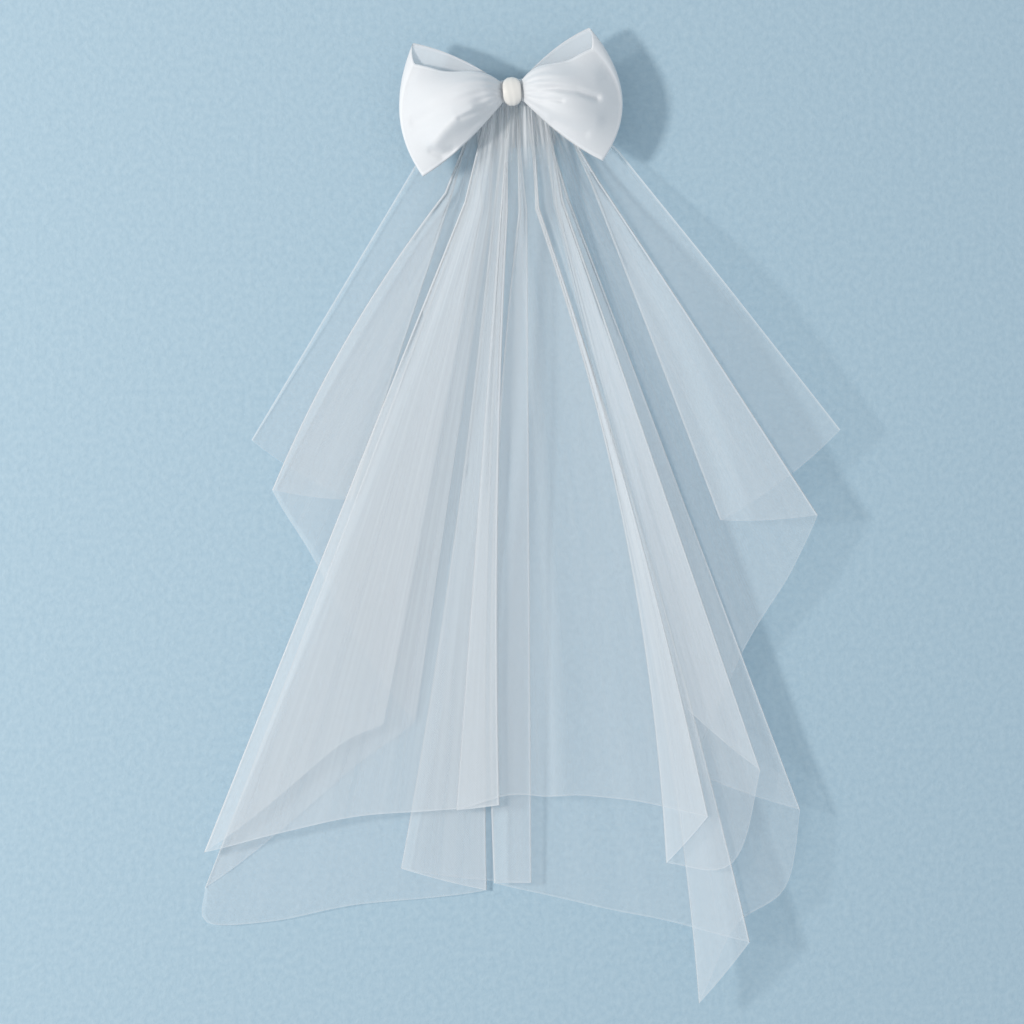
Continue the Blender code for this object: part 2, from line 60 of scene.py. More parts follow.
# Veil
WALL = 0.0010
LOWER_LENGTH = 0.711
UPPER_LENGTH = 0.630
GATHER_WIDTH = 0.070
HEADING = 0.006
NEAR_RADIUS = 0.110
STEP_AT_GATHER = 0.0015
STEP_FAR = 0.0023
FOLD_SHARE = 0.66
HEADING_STEP = 0.6
COMB_CLEARANCE = 0.0006
LOFT = 0.006
RIGHT_LOFT = 0.034
RIGHT_LOFT_FROM = 6  # degrees from straight down
RIGHT_LOFT_TO = 36
RIGHT_LOFT_REACH = 0.28
TIP_LOFT = 0.026  # the long pleat's tip stands up from the surface
TIP_ANGLE = 14
TIP_SPREAD = 7
TIP_FROM = 0.50
TIP_TO = 0.80
SEAT_REACH = 0.176
WING_REACH = 0.42
FRONT_REACH = 0.76
WING_LAYERS = 3
ROLL_HEIGHT = 0.006

TOUCH_GAP = 0.0003

# The sheet's fineness
COLUMN_WIDTH = 0.0085
NEAR_STATIONS = 16
STATION_LENGTH = 0.0065
HEM_STATIONS = (0.0045, 0.0030, 0.0016)  # distances from the hem
FOLD_POINTS = 5
FOLD_RADIUS = 0.0007
FOLD_ROUND_FROM = 0.02  # distances from the gather between which the folds grow round
FOLD_ROUND_TO = 0.08
FOLD_SLACK = 0.0004
# Fold, edge and hem lines of the tulle: the net is denser there, and its colour turns whiter as a painted
# highlight
BESIDE_FOLD = ((0.0011, 0.40), (0.0026, 0.0))  # distance from a fold's or an edge's line, and how bright it is
BESIDE_FOLD_SHARE = 0.30  # the most of the way to the next line that those columns take
HEM_BRIGHT_LINE = {0.0016: 0.05, 0.0: 0.32}  # distance from the hem, and how bright it is
GATHERED_TO = 0.035  # distances from the gather between which the gathers open
GATHERED_UNTIL = 0.085

# Soft waves of the cloth: widths along the hem and lengths down the cloth, and heights
WIDE_WAVE = (0.090, 0.5, 0.0022)
FINE_WAVE = (0.034, 0.35, 0.0011)
RIPPLE = (0.05, 0.05, 0.0004)
WAVES_FROM = 0.03
WAVES_TO = 0.25
BUNCH_WIDTH = 0.042
BUNCH_REACH = 0.06
BUNCH_HEIGHT = 0.0007
LOWER_SEED = 1.7
UPPER_SEED = 23.4

# Bow
KNOT_WIDTH = 0.016
KNOT_HEIGHT = 0.025
KNOT_THICKNESS = 0.019
KNOT_NARROWING = 0.3  # share of its width that the wrap loses at its top and bottom edge
KNOT_DROP = 0.0058
KNOT_SEAT = 0.0004
KNOT_CLEARANCE = 0.0010
LEFT_LOOP_LENGTH = 0.082
RIGHT_LOOP_LENGTH = 0.072
LEFT_LOOP_ARCH = 0.015
RIGHT_LOOP_ARCH = 0.021
LOOP_TOP = 0.050
LOOP_BOTTOM = 0.066
EDGE_ARCH = 0.005
TOP_FOLD_DROP = 0.019
TOP_FOLD_FROM = 0.05  # shares of the loop's length between which the front layer's top edge sinks
TOP_FOLD_TO = 0.75
LOOP_FULLNESS = 0.024
FULLNESS_LEAN = 0.8
EDGE_THINNING = 0.75
LOOP_END_THICKNESS = 0.006
LOOP_DROOP = 0.001
PINCH_HALF_WIDTH = 0.0088
PINCH_GAP = 0.0022
PINCH_FADE = 0.3
LOOP_GAP = 0.0008
BACK_FULLNESS = 0.15
END_ROUNDING = 0.03
RIDGES_FROM = (0.02, 0.2)  # shares of the loop's length between which the soft folds grow, and fade again
RIDGES_TO = (0.9, 1.0)
PLEATS = 13  # fine pleats beside the knot
PLEAT_HEIGHT = 0.0006
PLEATS_FROM = (0, 0.1)
PLEATS_TO = (0.15, 0.6)
RIBBON_WALL = 0.0003
RIBBON_EDGE = (1.0, 0.5)  # how opaque the ribbon's edge and the row beside it are
RIBBON_END = 0.7
FRONT_STEPS = 60
END_STEPS = 6
BACK_STEPS = 26
ACROSS_STEPS = 64
KNOT_SIDES = 72
KNOT_STEPS = 18
KNOT_BARREL = 0.15
KNOT_BARREL_POWER = 2.6
KNOT_NARROWING_POWER = 4
KNOT_CREASE = 0.00012
KNOT_WALL = 0.0008

# Looks
TULLE_PITCH = 0.0012
LOWER_ALPHA = 0.22
UPPER_ALPHA = 0.27
ORGANZA_PITCH = 0.0005
WHITE_NET = (0.93, 0.955, 0.975, 1)
# Painted highlight: the whiter colour of the tulle's fold, edge and hem lines
FOLD_HIGHLIGHT_WHITE = (0.97, 0.98, 0.99, 1)
WHITE_ORGANZA = (0.955, 0.962, 0.975, 1)
IVORY = (0.93, 0.89, 0.83, 1)
CLEAR = (0.95, 0.97, 0.98, 1)
BOARD_DARK = (0.445, 0.605, 0.71, 1)
BOARD_PALE = (0.505, 0.66, 0.755, 1)

# Studio
PIXEL = 0.00088
VIEW_WIDTH = 1024 * PIXEL
GATHER_DOWN = 424 * PIXEL
LENS = 180
SENSOR = 36
FAR_CLIP = 50
KEY_PLACE = (-2.7, 0.25, 2.35)
KEY_SIZE = 0.42
KEY_POWER = 66
KEY_COLOUR = (1.0, 0.955, 0.91)
SKY_COLOUR = (0.85, 0.93, 1.0, 1)
SKY_STRENGTH = 0.60
FLOOR_HALF = 6
FLOOR_DROP = 0.0004
TRANSPARENT_BOUNCES = 64


class Line(NamedTuple):
    """One line down the cloth, from the gather to the hem, in the order that the cloth has."""

    name: str
    folds: bool  # the cloth turns back here
    start: float  # place on the gather, from -1 at its left end to 1 at its right end
    near: float | None  # degrees from straight down at NEAR_RADIUS, to the right, or None for an even share
    hem: float  # the same at the hem
    reach: float  # distance of the hem from the gather, as a share of the tier's length
    bend: float  # how far the line swings to the right half way down, as a share of the same
    lift: float  # height over its layer, as a share of ROLL_HEIGHT


LOWER_TIER = (
    Line("left_edge", False, -1.00, -51.0, -36.5, 0.542, 0.000, 0),
    Line("left_wing_back", True, -0.80, -28.7, -21.2, 0.547, 0.000, 0),
    Line("left_wing_front", True, -0.68, -32.5, -30.8, 0.579, 0.014, 0),
    Line("left_rise", False, -0.57, None, -21.4, 0.645, 0.000, 0),
    Line("left_under", True, -0.46, -9.2, -8.7, 0.793, 0.000, 0),
    Line("left_under_hem", False, -0.38, None, -14.1, 0.883, 0.000, 0),
    Line("left_front", True, -0.30, -21.0, -21.0, 1.060, -0.002, 0),
    Line("left_corner", False, -0.28, None, -20.1, 1.099, 0.000, 0),
    Line("left_hem", False, -0.26, None, -16.2, 1.074, 0.000, 0),
    Line("left_hem_middle", False, -0.22, None, -10.5, 1.027, 0.000, 0),
    Line("first_pleat_under", True, -0.17, -2.8, -1.8, 0.993, 0.010, 0),
    Line("first_pleat", True, -0.08, -8.8, -8.1, 0.975, -0.009, 0),
    Line("second_pleat_under", True, 0.04, 7.0, 1.4, 0.983, 0.000, 0),
    Line("second_pleat", True, 0.11, 3.0, -1.3, 0.983, 0.017, 0),
    Line("centre_left", False, 0.17, 7.7, 2.8, 1.000, -0.004, 0),
    Line("centre", False, 0.22, 9.2, 6.6, 1.021, -0.008, 0),
    Line("centre_right", False, 0.28, 10.9, 10.9, 1.048, -0.012, 0),
    Line("long_pleat", True, 0.35, 12.4, 15.5, 1.092, -0.013, 0),
    Line("long_pleat_under", True, 0.43, 10.7, 11.5, 1.152, -0.032, 0),
    Line("right_hem_low", False, 0.47, None, 14.8, 1.070, 0.000, 0),
    Line("right_hem", False, 0.51, None, 18.8, 1.042, 0.000, 0),
    Line("right_front", True, 0.55, 27.0, 21.7, 0.959, 0.000, 0),
    Line("right_under", True, 0.63, 19.5, 14.4, 0.869, 0.000, 0),
    Line("right_rise", False, 0.68, None, 22.3, 0.751, 0.000, 0),
    Line("right_rise_hem", False, 0.72, None, 30.0, 0.688, 0.000, 0),
    Line("right_wing_front", True, 0.77, 43.0, 35.4, 0.648, 0.000, 0),
    Line("right_wing_back", True, 0.89, 39.0, 25.6, 0.593, 0.000, 0),
    Line("right_edge", False, 1.00, 59.0, 43.6, 0.585, 0.000, 0),
)

UPPER_TIER = (
    Line("left_edge", False, -0.95, -13.0, -11.4, 0.904, 0.000, 0),
    Line("left_back_hem", False, -0.78, None, -15.3, 0.961, 0.000, 0),
    Line("left_front", True, -0.50, -22.2, -21.9, 1.149, 0.000, 0),
    Line("left_hem", False, -0.42, None, -17.5, 1.091, 0.000, 0),
    Line("left_hem_middle", False, -0.33, None, -12.2, 1.040, 0.000, 0),
    Line("left_hem_right", False, -0.22, None, -6.6, 1.015, 0.000, 0),
    Line("pleat_under", True, -0.12, -1.8, -1.0, 1.000, 0.008, 0),
    Line("pleat", True, -0.02, -5.5, -4.4, 1.010, 0.000, 0),
    Line("gap", False, 0.08, None, -0.3, 0.986, 0.000, 0),
    Line("roll_left", False, 0.18, None, 2.7, 0.989, -0.004, 0),
    Line("roll_top", False, 0.22, None, 4.0, 0.989, -0.006, 1),
    Line("roll_right", False, 0.27, None, 6.0, 0.992, -0.008, 0),
    Line("centre", False, 0.36, None, 10.3, 1.011, -0.012, 0),
    Line("right_pleat", True, 0.46, 12.6, 15.0, 1.049, -0.013, 0),
    Line("right_pleat_under", True, 0.57, 10.5, 11.2, 1.100, -0.034, 0),
    Line("right_hem", False, 0.67, None, 15.8, 1.120, 0.000, 0),
    Line("right_front", True, 0.78, 24.0, 19.9, 1.010, 0.000, 0),
    Line("right_edge", False, 0.95, 20.0, 15.5, 0.894, 0.000, 0),
)


# How bright each fold's line is, for the lower and the upper tier, from 0 to 1: it scales the line's extra opacity
# and its painted highlight
PLAIN_SHINE = 0.5
SHINE = (
    {
        "left_edge": 0.9, "left_wing_back": 0.6, "left_wing_front": 0.8, "left_under": 0.12, "left_front": 0.55,
        "first_pleat_under": 0.45, "first_pleat": 0.4, "second_pleat_under": 0.5, "second_pleat": 0.6,
        "long_pleat": 0.9, "long_pleat_under": 0.4, "right_front": 0.6, "right_under": 0.1,
        "right_wing_front": 0.9, "right_wing_back": 0.5, "right_edge": 0.8,
    },
    {
        "left_edge": 0.1, "left_front": 0.9, "pleat_under": 0.9, "pleat": 0.2, "right_pleat": 0.5,
        "right_pleat_under": 0.45, "right_front": 0.7, "right_edge": 0.12,
    },
)


# How full the net looks from each line to the next, for the lower and the upper tier: 1 where it isn't named
FULL = (
    {
        "left_edge": 0.85, "left_wing_back": 1.35, "left_wing_front": 1.4, "left_rise": 1.25, "left_under": 1.2,
        "left_under_hem": 1.2, "left_corner": 0.85, "left_hem": 0.85, "left_hem_middle": 0.85,
        "first_pleat_under": 1.6, "first_pleat": 0.55, "second_pleat_under": 1.1, "second_pleat": 0.85,
        "centre_left": 0.75, "centre": 0.65, "centre_right": 0.65, "long_pleat": 1.3, "long_pleat_under": 0.55,
        "right_hem_low": 0.7, "right_hem": 0.9, "right_front": 0.95, "right_under": 0.8,
        "right_wing_back": 0.6,
    },
    {
        "left_edge": 1.2, "left_back_hem": 1.15, "left_front": 1.15, "left_hem": 1.15, "left_hem_middle": 1.15,
        "left_hem_right": 1.15, "pleat_under": 1.35, "pleat": 0.65, "gap": 0.65, "roll_left": 0.8,
        "roll_top": 0.9, "roll_right": 0.7, "centre": 0.7, "right_pleat": 1.2, "right_pleat_under": 0.55,
        "right_hem": 0.85, "right_front": 0.9,
    },
)


def smooth(value, low, high):
    """0 below low, 1 above high and an even ramp between them."""
    share = min(max((value - low) / (high - low), 0.0), 1.0)
    return share * share * (3 - 2 * share)


def blend(a, b, share):
    return a + (b - a) * share


# The middle of the gather, from the comb's box
COMB_LOW, COMB_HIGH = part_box("comb")
SEAM = Vector((
    COMB_LOW.x + COMB_WIDTH / 2 * cos(CLIP_TURN),
    COMB_HIGH.y - COMB_WIDTH / 2 * sin(CLIP_TURN),
    COMB_LOW.z,
))


# Materials


class Nodes:
    """A new node material, with a short way to add and join nodes."""

    def __init__(self, name):
        self.material = bpy.data.materials.new(name)
        self.material.use_nodes = True
        self.tree = self.material.node_tree
        self.shader = self.tree.nodes["Principled BSDF"]

    def add(self, kind, values=None, **settings):
        node = self.tree.nodes.new(kind)
        for key, value in settings.items():
            setattr(node, key, value)
        for key, value in (values or {}).items():
            if isinstance(value, bpy.types.NodeSocket):
                self.tree.links.new(value, node.inputs[key])
            else:
                node.inputs[key].default_value = value
        return node

    def math(self, operation, a, b=0.0, clamp=False):
        return self.add("ShaderNodeMath", {0: a, 1: b}, operation=operation, use_clamp=clamp).outputs[0]

    def ramp(self, value, low, high, out_low=0.0, out_high=1.0):
        node = self.add("ShaderNodeMapRange", {
            "Value": value, "From Min": low, "From Max": high, "To Min": out_low, "To Max": out_high,
        })
        return node.outputs["Result"]

    def mix(self, share, a, b):
        node = self.add("ShaderNodeMix", data_type="RGBA")
        self.tree.links.new(share, node.inputs["Factor"])
        node.inputs[6].default_value = a
        node.inputs[7].default_value = b
        return node.outputs[2]

    def attribute(self, name):
        return self.add("ShaderNodeAttribute", attribute_name=name).outputs["Fac"]

    def set(self, **values):
        for key, value in values.items():
            socket = self.shader.inputs[key.replace("_", " ")]
            if isinstance(value, bpy.types.NodeSocket):
                self.tree.links.new(value, socket)
            else:
                socket.default_value = value


def threads(nodes, vector, pitch):
    """A fine net with six-sided holes: 1 on the threads and 0 in the holes."""
    split = nodes.add("ShaderNodeSeparateXYZ", {0: vector})
    across = nodes.math("MULTIPLY", split.outputs[0], 2 * pi / pitch)
    down = nodes.math("MULTIPLY", split.outputs[1], 2 * pi / pitch)
    waves = None
    for turn in (0, 60, 120):
        a = nodes.math("MULTIPLY", across, cos(radians(turn)))
        b = nodes.math("MULTIPLY", down, sin(radians(turn)))
        wave = nodes.math("COSINE", nodes.math("ADD", a, b))
        waves = wave if waves is None else nodes.math("ADD", waves, wave)
    return nodes.ramp(waves, 0.6, -1.1)


def tulle_material(name, alpha):
    """Soft white net: denser at folds, hems and the gather, with streaks that run down the cloth. The fold, edge
    and hem lines also turn whiter, a painted highlight.
    """
    nodes = Nodes(name)
    place = nodes.add("ShaderNodeUVMap", uv_map="cloth").outputs[0]
    net = threads(nodes, place, TULLE_PITCH)
    bright_line = nodes.attribute("bright_line")
    gathered = nodes.attribute("gathered")
    close = nodes.add("ShaderNodeMapping", {"Vector": place, "Scale": (17.0, 1.5, 1.0)}).outputs[0]
    gathers = nodes.add("ShaderNodeTexNoise", {"Vector": close, "Scale": 1.0, "Detail": 1.0}).outputs["Fac"]
    stretched = nodes.add("ShaderNodeMapping", {"Vector": place, "Scale": (95.0, 2.2, 1.0)}).outputs[0]
    streaks = nodes.add(
        "ShaderNodeTexNoise", {"Vector": stretched, "Scale": 1.0, "Detail": 3.0, "Roughness": 0.55}
    ).outputs["Fac"]
    wide = nodes.add("ShaderNodeMapping", {"Vector": place, "Scale": (9.0, 4.0, 1.0)}).outputs[0]
    clouds = nodes.add("ShaderNodeTexNoise", {"Vector": wide, "Scale": 1.0, "Detail": 2.0}).outputs["Fac"]
    body = nodes.ramp(streaks, 0.3, 0.7, alpha * 0.86, alpha * 1.14)
    body = nodes.math("ADD", body, nodes.ramp(clouds, 0.3, 0.7, -0.01, 0.01))
    body = nodes.math("ADD", body, nodes.ramp(net, 0.0, 1.0, -0.035, 0.045))
    thin = nodes.math("SUBTRACT", 1.0, nodes.math("MULTIPLY", gathered, 0.1))
    body = nodes.math("MULTIPLY", body, thin)
    body = nodes.math("MULTIPLY", body, nodes.attribute("full"))
    bunch = nodes.math("MULTIPLY", gathered, nodes.ramp(gathers, 0.42, 0.6, 0.04, 0.5))
    body = nodes.math("ADD", body, bunch)
    body = nodes.math("ADD", body, nodes.math("MULTIPLY", bright_line, 0.6), clamp=True)
    # Painted highlight: the base colour turns whiter on the fold, edge and hem lines
    tint = nodes.mix(bright_line, WHITE_NET, FOLD_HIGHLIGHT_WHITE)
    nodes.set(Base_Color=tint, Roughness=0.6, Alpha=body, Sheen_Weight=0.1, Specular_IOR_Level=0.2)
    return nodes.material


def organza_material():
    """Sheer ribbon: a fine plain weave with a soft sheen and opaque edges."""
    nodes = Nodes("organza")
    place = nodes.add("ShaderNodeUVMap", uv_map="cloth").outputs[0]
    split = nodes.add("ShaderNodeSeparateXYZ", {0: place})
    warp = nodes.math("SINE", nodes.math("MULTIPLY", split.outputs[0], 2 * pi / ORGANZA_PITCH))
    weft = nodes.math("SINE", nodes.math("MULTIPLY", split.outputs[1], 2 * pi / ORGANZA_PITCH))
    weave = nodes.math("ADD", warp, weft)
    bright_line = nodes.attribute("bright_line")
    sheer = nodes.math("MULTIPLY", nodes.attribute("gathered"), -0.38)
    body = nodes.math("ADD", nodes.ramp(weave, -2, 2, 0.80, 0.88), nodes.math("MULTIPLY", bright_line, 0.25))
    body = nodes.math("ADD", body, sheer, clamp=True)
    bump = nodes.add("ShaderNodeBump", {"Height": weave, "Strength": 0.12, "Distance": 0.0001}).outputs[0]
    slubs = nodes.add("ShaderNodeTexNoise", {"Vector": place, "Scale": 60.0, "Detail": 2.0}).outputs["Fac"]
    rough = nodes.ramp(slubs, 0.3, 0.7, 0.42, 0.55)
    nodes.set(Base_Color=WHITE_ORGANZA, Roughness=rough, Alpha=body, Normal=bump)
    nodes.set(Sheen_Weight=0.35, Specular_IOR_Level=0.35)
    return nodes.material


def satin_material():
    """Ivory satin with a fine rib round the wrap."""
    nodes = Nodes("ivory_satin")
    place = nodes.add("ShaderNodeTexCoord").outputs["Object"]
    wave = nodes.add("ShaderNodeTexNoise", {"Vector": place, "Scale": 220.0, "Detail": 3.0}).outputs["Fac"]
    bump = nodes.add("ShaderNodeBump", {"Height": wave, "Strength": 0.15, "Distance": 0.0003}).outputs[0]
    rough = nodes.ramp(wave, 0.3, 0.7, 0.3, 0.42)
    nodes.set(Base_Color=IVORY, Roughness=rough, Normal=bump, Sheen_Weight=0.3)
    return nodes.material


def plastic_material():
    """Clear comb plastic with a faint haze."""
    nodes = Nodes("clear_plastic")
    place = nodes.add("ShaderNodeTexCoord").outputs["Object"]
    haze = nodes.add("ShaderNodeTexNoise", {"Vector": place, "Scale": 90.0, "Detail": 2.0}).outputs["Fac"]
    rough = nodes.ramp(haze, 0.3, 0.7, 0.08, 0.2)
    nodes.set(Base_Color=CLEAR, Roughness=rough, IOR=1.46, Transmission_Weight=0.35)
    return nodes.material


def floor_material():
    """Pale blue board with a faint grain."""
    nodes = Nodes("pale_board")
    place = nodes.add("ShaderNodeTexCoord").outputs["Object"]
    grain = nodes.add("ShaderNodeTexNoise", {"Vector": place, "Scale": 190.0, "Detail": 4.0}).outputs["Fac"]
    bump = nodes.add("ShaderNodeBump", {"Height": grain, "Strength": 0.5, "Distance": 0.0012}).outputs[0]
    colour = nodes.mix(nodes.ramp(grain, 0.3, 0.7), BOARD_DARK, BOARD_PALE)
    nodes.set(Base_Color=colour, Roughness=0.7, Normal=bump, Specular_IOR_Level=0.3)
    return nodes.material


# Veil


def turned(x, y, z=0.0):
    """A point of the clip's own frame, turned as the clip is."""
    return Matrix.Rotation(CLIP_TURN, 4, "Z") @ Vector((x, y, z))


def layer_step(radius):
    """The height from one layer to the next."""
    return blend(STEP_AT_GATHER, STEP_FAR, smooth(radius, 0, NEAR_RADIUS))


def ground(radius, angle):
    """The height of the lowest layer's middle over the surface, at a place seen from the seam."""
    over_comb = SPINE_THICKNESS + COMB_CLEARANCE + WALL / 2
    seat = over_comb * (1 - smooth(radius, COMB_HEIGHT, SEAT_REACH))
    off_comb = (radius - COMB_HEIGHT) / (WING_REACH - COMB_HEIGHT)
    swell = sin(pi * min(max(off_comb, 0.0), 1.0))
    rise = smooth(radius, COMB_HEIGHT, RIGHT_LOFT_REACH)
    right = RIGHT_LOFT * smooth(angle, RIGHT_LOFT_FROM, RIGHT_LOFT_TO) * rise
    tip = TIP_LOFT * exp(-(((angle - TIP_ANGLE) / TIP_SPREAD) ** 2)) * smooth(radius, TIP_FROM, TIP_TO)
    settled = WING_LAYERS * STEP_FAR * smooth(radius, WING_REACH, FRONT_REACH)
    return seat + LOFT * swell + right + tip - settled


def polar(radius, angle):
    """A point seen from above, at a distance and an angle from the middle of the gather."""
    return Vector((radius * sin(radians(angle)), -radius * cos(radians(angle)), 0))


def line_place(line, length, way):
    """Where a line of the cloth is seen from above. way is -1 at the heading, 0 at the gather, 1 at the
    knee at NEAR_RADIUS and 2 at the hem, and the line is straight between them but for its bend."""
    start = turned(line.start * GATHER_WIDTH / 2, 0)
    knee = polar(NEAR_RADIUS, line.near)
    hem = polar(line.reach * length, line.hem)
    if way < 0:
        return start + turned(0, HEADING * -way)
    if way < 1:
        return start.lerp(knee, way)
    share = way - 1
    side = (hem - knee).cross(Vector((0, 0, -1))).normalized()
    return knee.lerp(hem, share) - side * line.bend * length * 4 * share * (1 - share)


def with_knees(table):
    """The table with each open angle at the knee shared out evenly between the folds or edges beside it."""
    known = [index for index, line in enumerate(table) if line.near is not None]
    lines = []
    for index, line in enumerate(table):
        if line.near is None:
            before = table[max(k for k in known if k < index)]
            after = table[min(k for k in known if k > index)]
            share = (line.start - before.start) / (after.start - before.start)
            line = line._replace(near=blend(before.near, after.near, share))
        lines.append(line)
    return lines


def hem_gap(a, b, length):
    return (line_place(a, length, 2) - line_place(b, length, 2)).length


def counted_layers(table):
    """The layer of each stretch of cloth: it climbs by one at each fold, from both edges to the middle."""
    folds = [index for index, line in enumerate(table) if line.folds]
    gaps = [(b - a, a, b) for a, b in zip(folds, folds[1:])]
    middle_start, middle_end = max(gaps)[1:]
    left = sum(index <= middle_start for index in folds)
    return middle_start, middle_end, left, len(folds) - left


def most_layers(table):
    return max(counted_layers(table)[2:])


def line_layers(table, first_layer):
    """Each line's layer on its left and on its right side. They differ at a fold."""
    middle_start, middle_end, left, right = counted_layers(table)
    layers = []
    layer = first_layer
    for index, line in enumerate(table):
        turn = 1 if index <= middle_start else -1
        if index == middle_end:
            layer = first_layer + right
        if line.folds:
            layers.append([layer + turn * (1 - FOLD_SHARE) / 2, layer + turn * (1 + FOLD_SHARE) / 2])
            layer += turn
        elif index in (0, len(table) - 1):
            layers.append([layer - (1 - FOLD_SHARE) / 2] * 2)
        else:
            layers.append(None)
    known = [index for index, pair in enumerate(layers) if pair is not None]
    for index, pair in enumerate(layers):
        if pair is None:
            before = max(k for k in known if k < index)
            after = min(k for k in known if k > index)
            share = (table[index].start - table[before].start) / (table[after].start - table[before].start)
            layers[index] = [blend(layers[before][1], layers[after][0], share)] * 2
    return layers


def hem_curve(table, index, share):
    """The hem's angle and reach between two lines, on a smooth curve that breaks only at the folds."""
    a, b = table[index], table[index + 1]
    before = a if a.folds or index == 0 else table[index - 1]
    after = b if b.folds or index + 2 == len(table) else table[index + 2]
    values = []
    for field in ("hem", "reach"):
        p0, p1, p2, p3 = (getattr(line, field) for line in (before, a, b, after))
        slope_a = (p2 - p0) / 2 if before is not a else (p2 - p1)
        slope_b = (p3 - p1) / 2 if after is not b else (p2 - p1)
        s = share
        values.append(
            p1 * (2 * s**3 - 3 * s**2 + 1) + slope_a * (s**3 - 2 * s**2 + s)
            + p2 * (3 * s**2 - 2 * s**3) + slope_b * (s**3 - s**2)
        )
    return values


def between(table, index, share):
    """A line part way from one line of the table to the next."""
    a, b = table[index], table[index + 1]
    numbers = [blend(getattr(a, field), getattr(b, field), share) for field in Line._fields[2:]]
    line = Line(a.name, False, *numbers)
    hem, reach = hem_curve(table, index, share)
    return line._replace(hem=hem, reach=reach)


class Column(NamedTuple):
    """One column of the sheet's grid, between a line of the table and the next."""

    index: int
    share: float  # of the way to the next line
    from_a: float | None  # or a fixed distance from this line, in metres
    from_b: float | None  # or from the next one
    turn: float | None  # or a place round a fold, from -1 to 1
    bright_line: float  # 1 on a fold's or an edge's bright line


def sheet_columns(table, length):
    """The columns of a tier's grid, fine beside the folds and edges and even between them."""
    columns = []
    last = len(table) - 1
    for index, line in enumerate(table):
        if line.folds:
            for step in range(FOLD_POINTS):
                columns.append(Column(index, 0, None, None, 2 * step / (FOLD_POINTS - 1) - 1, 1.0))
        else:
            columns.append(Column(index, 0, None, None, None, 1.0 if index in (0, last) else 0.0))
        if index == last:
            break
        sharp_a = line.folds or index == 0
        sharp_b = table[index + 1].folds or index + 1 == last
        if sharp_a:
            columns += [Column(index, 0, apart, None, None, bright_line) for apart, bright_line in BESIDE_FOLD]
        pieces = max(2, ceil(hem_gap(line, table[index + 1], length) / COLUMN_WIDTH))
        columns += [Column(index, part / pieces, None, None, None, 0.0) for part in range(1, pieces)]
        if sharp_b:
            columns += [Column(index, 0, None, apart, None, bright_line) for apart, bright_line in BESIDE_FOLD[::-1]]
    return columns


def sheet_ways(length):
    """The places of the sheet's cross-sections along its lines, closer at the hem."""
    near = [station / NEAR_STATIONS for station in range(NEAR_STATIONS)]
    far_count = ceil((length - NEAR_RADIUS) / STATION_LENGTH)
    far = [1 + station / far_count for station in range(far_count)]
    close = [2 - apart / length for apart in HEM_STATIONS]
    return [-1.0, -0.5] + near + [way for way in far if way < close[0] - 0.002] + close + [2.0]


def cloth_wave(u, radius, seed):
    """Soft folds that run down the cloth, small near the gather and wider towards the hem."""
    waves = 0.0
    for (width, run, height), other in ((WIDE_WAVE, 0), (FINE_WAVE, 7.3), (RIPPLE, 3.1)):
        waves += height * noise.noise(Vector((u / width, radius / run, seed + other)))
    bunch = sin(2 * pi * u / BUNCH_WIDTH) * exp(-radius / BUNCH_REACH)
    return smooth(radius, WAVES_FROM, WAVES_TO) * waves + BUNCH_HEIGHT * bunch


def heading_height(layers, layer):
    """The height of the upper tier's top edge, which is sewn down on the lower tier's highest fold."""
    seat_layer = most_layers(LOWER_TIER) - (1 - FOLD_SHARE) / 2
    seat = ground(0, 0) + seat_layer * STEP_AT_GATHER + WALL + TOUCH_GAP
    highest = max(max(pair) for pair in layers)
    return seat + (layer - highest) * STEP_AT_GATHER * HEADING_STEP


def cloth_share(column, table, length, way):
    """The share of the way to the next line for a column that keeps a fixed distance from a line."""
    if column.from_a is None and column.from_b is None:
        return column.share
    gap = (line_place(table[column.index], length, way) - line_place(table[column.index + 1], length, way)).length
    apart = column.from_a if column.from_a is not None else column.from_b
    share = min(apart / max(gap, 1e-6), BESIDE_FOLD_SHARE * apart / BESIDE_FOLD[-1][0])
    return share if column.from_a is not None else 1 - share


def cloth_sides(table, length):
    """The side of each fold on which the cloth lies, 1 for the right and -1 for the left."""
    sides = []
    for index, line in enumerate(table):
        other = table[min(index + 1, len(table) - 1)]
        place, beside = line_place(line, length, 1.8), line_place(other, length, 1.8)
        sides.append(1 if beside.x > place.x else -1)
    return sides


def flat_places(table, length, columns):
    """The place of each column along the flat cloth, from the run of its hem."""
    flat = [0.0]
    hems = [line_place(column_line(table, column, cloth_share(column, table, length, 2)), length, 2)
            for column in columns]
    for a, b in zip(hems, hems[1:]):
        flat.append(flat[-1] + (a - b).length + FOLD_SLACK)
    return flat


def column_line(table, column, share):
    """The line down the cloth that a column follows."""
    if column.index == len(table) - 1 or share <= 0:
        return table[column.index]
    return between(table, column.index, share)


def column_layer(layers, column, share):
    left, right = layers[column.index]
    if column.turn is not None:
        return blend(left, right, (column.turn + 1) / 2)
    return blend(right, layers[min(column.index + 1, len(layers) - 1)][0], share)


def hem_bright_line(way, length):
    """How bright the hem's line is at a cross-section: extra opacity and a painted highlight."""
    apart = (2 - way) * length
    return max([value for limit, value in HEM_BRIGHT_LINE.items() if apart <= limit + 1e-6], default=0.0)


def column_full(table, fulls, column, share):
    """How full the net looks at a place between two lines."""
    following = min(column.index + 1, len(table) - 1)
    next_full = fulls[column.index] if table[following].folds else fulls[following]
    return blend(fulls[column.index], next_full, share)


